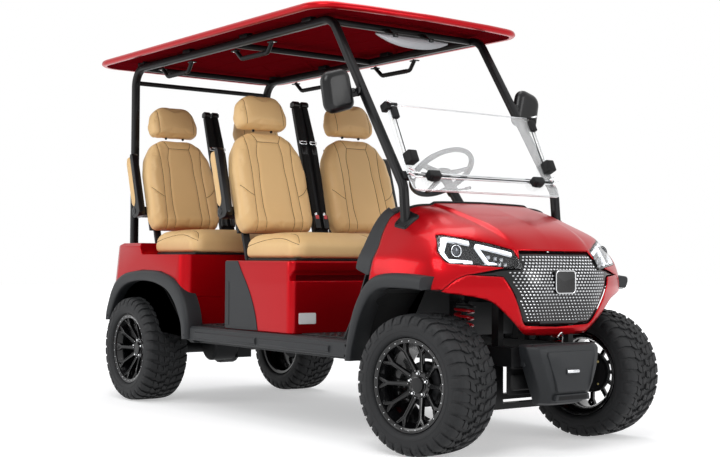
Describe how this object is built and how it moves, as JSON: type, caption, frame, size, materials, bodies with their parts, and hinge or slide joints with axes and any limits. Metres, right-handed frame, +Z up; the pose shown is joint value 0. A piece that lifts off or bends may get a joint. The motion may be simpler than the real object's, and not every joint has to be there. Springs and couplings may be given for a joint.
{
  "type": "golf cart",
  "caption": "Four-seat electric golf cart with roof, folding windshield, all-terrain tyres, steered front wheels and two rows of seats facing forward.",
  "frame": {"origin": "centre of the cart's bounding box in plan, on the ground that its tyres stand on", "axes": "+Z up, the cart drives towards -Y, +X is its left side"},
  "size_m": [1.3538, 3.287, 2.035],
  "materials": {
    "tyre": "matt black rubber",
    "gloss_black": "gloss black paint",
    "frame_black": "satin black powder coat",
    "dark_plastic": "moulded dark grey plastic",
    "body_red": "candy red gloss paint",
    "spring_red": "red powder coat",
    "seat_leather": "tan leather with brown stitching",
    "floor_rubber": "ribbed black rubber mat",
    "lamp": "clear lens over black housing",
    "grille_black": "black plate with bright studs",
    "clear": "clear acrylic",
    "battery_grey": "plain casing",
    "cast_metal": "dark cast metal",
    "belt_black": "woven black webbing"
  },
  "bodies": {
    "root": {"backrests": "seat_leather", "battery_pack": "battery_grey", "bumpers": "dark_plastic", "chassis_frame": "frame_black", "dashboard": "dark_plastic", "floor_mats": "floor_rubber", "floor_pan": "dark_plastic", "front_body": "body_red", "front_seat_box": "body_red", "front_springs": "spring_red", "front_suspension": "frame_black", "grab_handles": "dark_plastic", "grille": "grille_black", "headrests": "seat_leather", "lamps": "lamp", "leaf_springs": "frame_black", "mirrors": "dark_plastic", "rear_axle": "cast_metal", "rear_body": "body_red", "roof": "body_red", "roof_frame": "frame_black", "seat_belts": "belt_black", "seat_cushions": "seat_leather", "seat_frames": "dark_plastic", "side_trims": "dark_plastic", "sills": "dark_plastic", "steering_controls": "frame_black", "wheel_flares": "dark_plastic", "windshield": "clear", "windshield_clamps": "dark_plastic"},
    "steering_wheel": {"steering_wheel": "dark_plastic"},
    "knuckle_left": {"knuckle_left": "cast_metal"},
    "knuckle_right": {"knuckle_right": "cast_metal"},
    "wheel_front_left": {"tyre_front_left": "tyre", "rim_front_left": "gloss_black"},
    "wheel_front_right": {"tyre_front_right": "tyre", "rim_front_right": "gloss_black"},
    "wheel_rear_left": {"tyre_rear_left": "tyre", "rim_rear_left": "gloss_black"},
    "wheel_rear_right": {"tyre_rear_right": "tyre", "rim_rear_right": "gloss_black"},
    "armrest_front_left": {"armrest_front_left": "seat_leather"},
    "armrest_front_right": {"armrest_front_right": "seat_leather"},
    "armrest_rear_left": {"armrest_rear_left": "seat_leather"},
    "armrest_rear_right": {"armrest_rear_right": "seat_leather"}
  },
  "joints": [
    {"name": "steer_left", "type": "hinge", "parent": "root", "child": "knuckle_left", "pos_m": [0.44, -1.2865, 0.292], "axis": [0, 0, 1], "range_deg": [-36, 18]},
    {"name": "steer_right", "type": "hinge", "parent": "root", "child": "knuckle_right", "pos_m": [-0.44, -1.2865, 0.292], "axis": [0, 0, 1], "range_deg": [-36, 18]},
    {"name": "steering_wheel_turn", "type": "hinge", "parent": "root", "child": "steering_wheel", "pos_m": [0.27, -0.4865, 1.245], "axis": [0, 0.6428, 0.766], "range_deg": [-504, 252]},
    {"name": "front_left_spin", "type": "hinge", "parent": "knuckle_left", "child": "wheel_front_left", "pos_m": [0.50914, -1.27555, 0.292], "axis": [0.9877, 0.1564, 0], "continuous": true},
    {"name": "front_right_spin", "type": "hinge", "parent": "knuckle_right", "child": "wheel_front_right", "pos_m": [-0.50914, -1.29745, 0.292], "axis": [0.9877, 0.1564, 0], "continuous": true},
    {"name": "rear_left_spin", "type": "hinge", "parent": "root", "child": "wheel_rear_left", "pos_m": [0.5125, 1.1835, 0.292], "axis": [1, 0, 0], "continuous": true},
    {"name": "rear_right_spin", "type": "hinge", "parent": "root", "child": "wheel_rear_right", "pos_m": [-0.5125, 1.1835, 0.292], "axis": [1, 0, 0], "continuous": true},
    {"name": "armrest_front_left_fold", "type": "hinge", "parent": "root", "child": "armrest_front_left", "pos_m": [0.546, 0.28185, 1.03817], "axis": [1, 0, 0], "range_deg": [0, 105]},
    {"name": "armrest_front_right_fold", "type": "hinge", "parent": "root", "child": "armrest_front_right", "pos_m": [-0.546, 0.28185, 1.03817], "axis": [1, 0, 0], "range_deg": [0, 105]},
    {"name": "armrest_rear_left_fold", "type": "hinge", "parent": "root", "child": "armrest_rear_left", "pos_m": [0.546, 1.24685, 1.06817], "axis": [1, 0, 0], "range_deg": [0, 105]},
    {"name": "armrest_rear_right_fold", "type": "hinge", "parent": "root", "child": "armrest_rear_right", "pos_m": [-0.546, 1.24685, 1.06817], "axis": [1, 0, 0], "range_deg": [0, 105]}
  ],
  "couplings": [
    {"joint": "steer_right", "follows": "steer_left", "ratio": 1},
    {"joint": "steering_wheel_turn", "follows": "steer_left", "ratio": 14}
  ]
}
